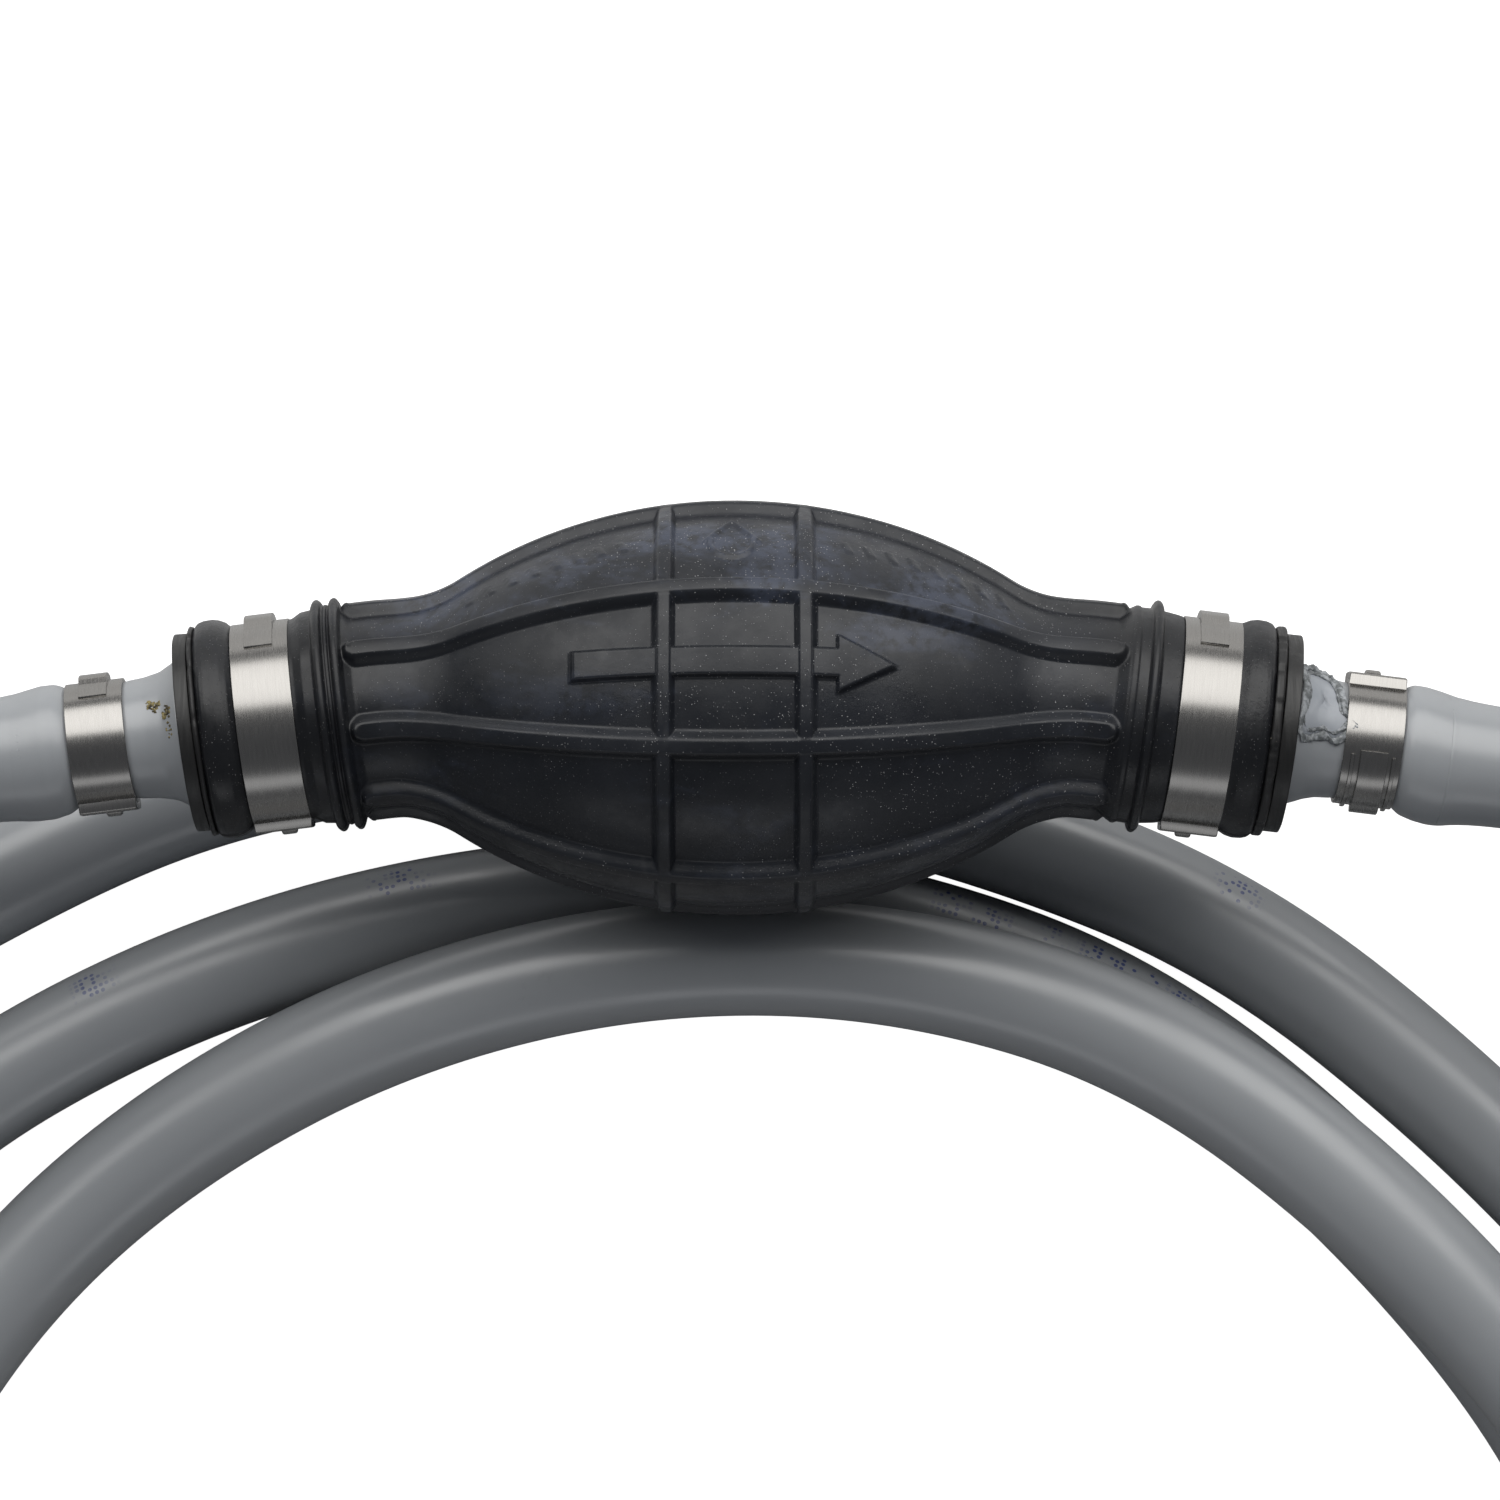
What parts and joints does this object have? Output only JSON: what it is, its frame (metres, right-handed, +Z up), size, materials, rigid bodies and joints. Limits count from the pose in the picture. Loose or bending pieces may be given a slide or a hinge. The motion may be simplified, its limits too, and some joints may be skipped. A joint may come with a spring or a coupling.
{
  "type": "hose line with hand primer bulb",
  "caption": "Ribbed rubber squeeze bulb with a raised flow arrow, a spring check valve in each neck, ear-clamped hose ends and a long hose in loose coils.",
  "frame": {"origin": "centre of the bulb, on the flow axis at its widest place", "axes": "+X along the flow, the way the arrow points; +Z up from the table the line lies on, out of the arrow's side; +Y across, away from the coils"},
  "size_m": [0.3657, 0.287, 0.0745],
  "materials": {
    "bulb_rubber": "satin moulded black rubber",
    "gasket_rubber": "matte black rubber",
    "fitting_plastic": "matte black moulded nylon",
    "hose_rubber": "smooth satin grey",
    "clamp_steel": "brushed stainless strip",
    "valve_plastic": "natural acetal",
    "seal_rubber": "satin",
    "spring_steel": "bright wire"
  },
  "bodies": {
    "line": {"bulb_shell": "bulb_rubber", "inlet_gasket": "gasket_rubber", "inlet_fitting": "fitting_plastic", "inlet_hose_end": "hose_rubber", "inlet_bulb_clamp": "clamp_steel", "inlet_hose_clamp": "clamp_steel", "inlet_valve_seat": "valve_plastic", "inlet_valve_cage": "valve_plastic", "inlet_valve_spring": "spring_steel", "outlet_gasket": "gasket_rubber", "outlet_fitting": "fitting_plastic", "outlet_hose_end": "hose_rubber", "outlet_bulb_clamp": "clamp_steel", "outlet_hose_clamp": "clamp_steel", "outlet_valve_seat": "valve_plastic", "outlet_valve_cage": "valve_plastic", "outlet_valve_spring": "spring_steel", "inlet_hose_first_turn": "hose_rubber", "inlet_hose_second_turn": "hose_rubber", "inlet_hose_third_turn": "hose_rubber", "inlet_hose_tail": "hose_rubber", "outlet_hose": "hose_rubber", "outlet_hose_tail": "hose_rubber"},
    "pressed_panel": {"thumb_panel": "bulb_rubber"},
    "inlet_valve": {"inlet_valve_disc": "valve_plastic", "inlet_valve_o_ring": "seal_rubber"},
    "outlet_valve": {"outlet_valve_disc": "valve_plastic", "outlet_valve_o_ring": "seal_rubber"}
  },
  "joints": [
    {"name": "bulb_squeeze", "type": "slide", "parent": "line", "child": "pressed_panel", "axis": [0, -0.225, -0.9744], "range_m": [0, 0.007], "stiffness_N_per_m": 1500},
    {"name": "inlet_valve_lift", "type": "slide", "parent": "line", "child": "inlet_valve", "axis": [0.9925, 0.1219, 0], "range_m": [0, 0.0025], "stiffness_N_per_m": 120, "deforming": ["inlet_valve_spring"]},
    {"name": "outlet_valve_lift", "type": "slide", "parent": "line", "child": "outlet_valve", "axis": [0.9925, -0.1219, 0], "range_m": [0, 0.0025], "stiffness_N_per_m": 120, "deforming": ["outlet_valve_spring"]}
  ]
}
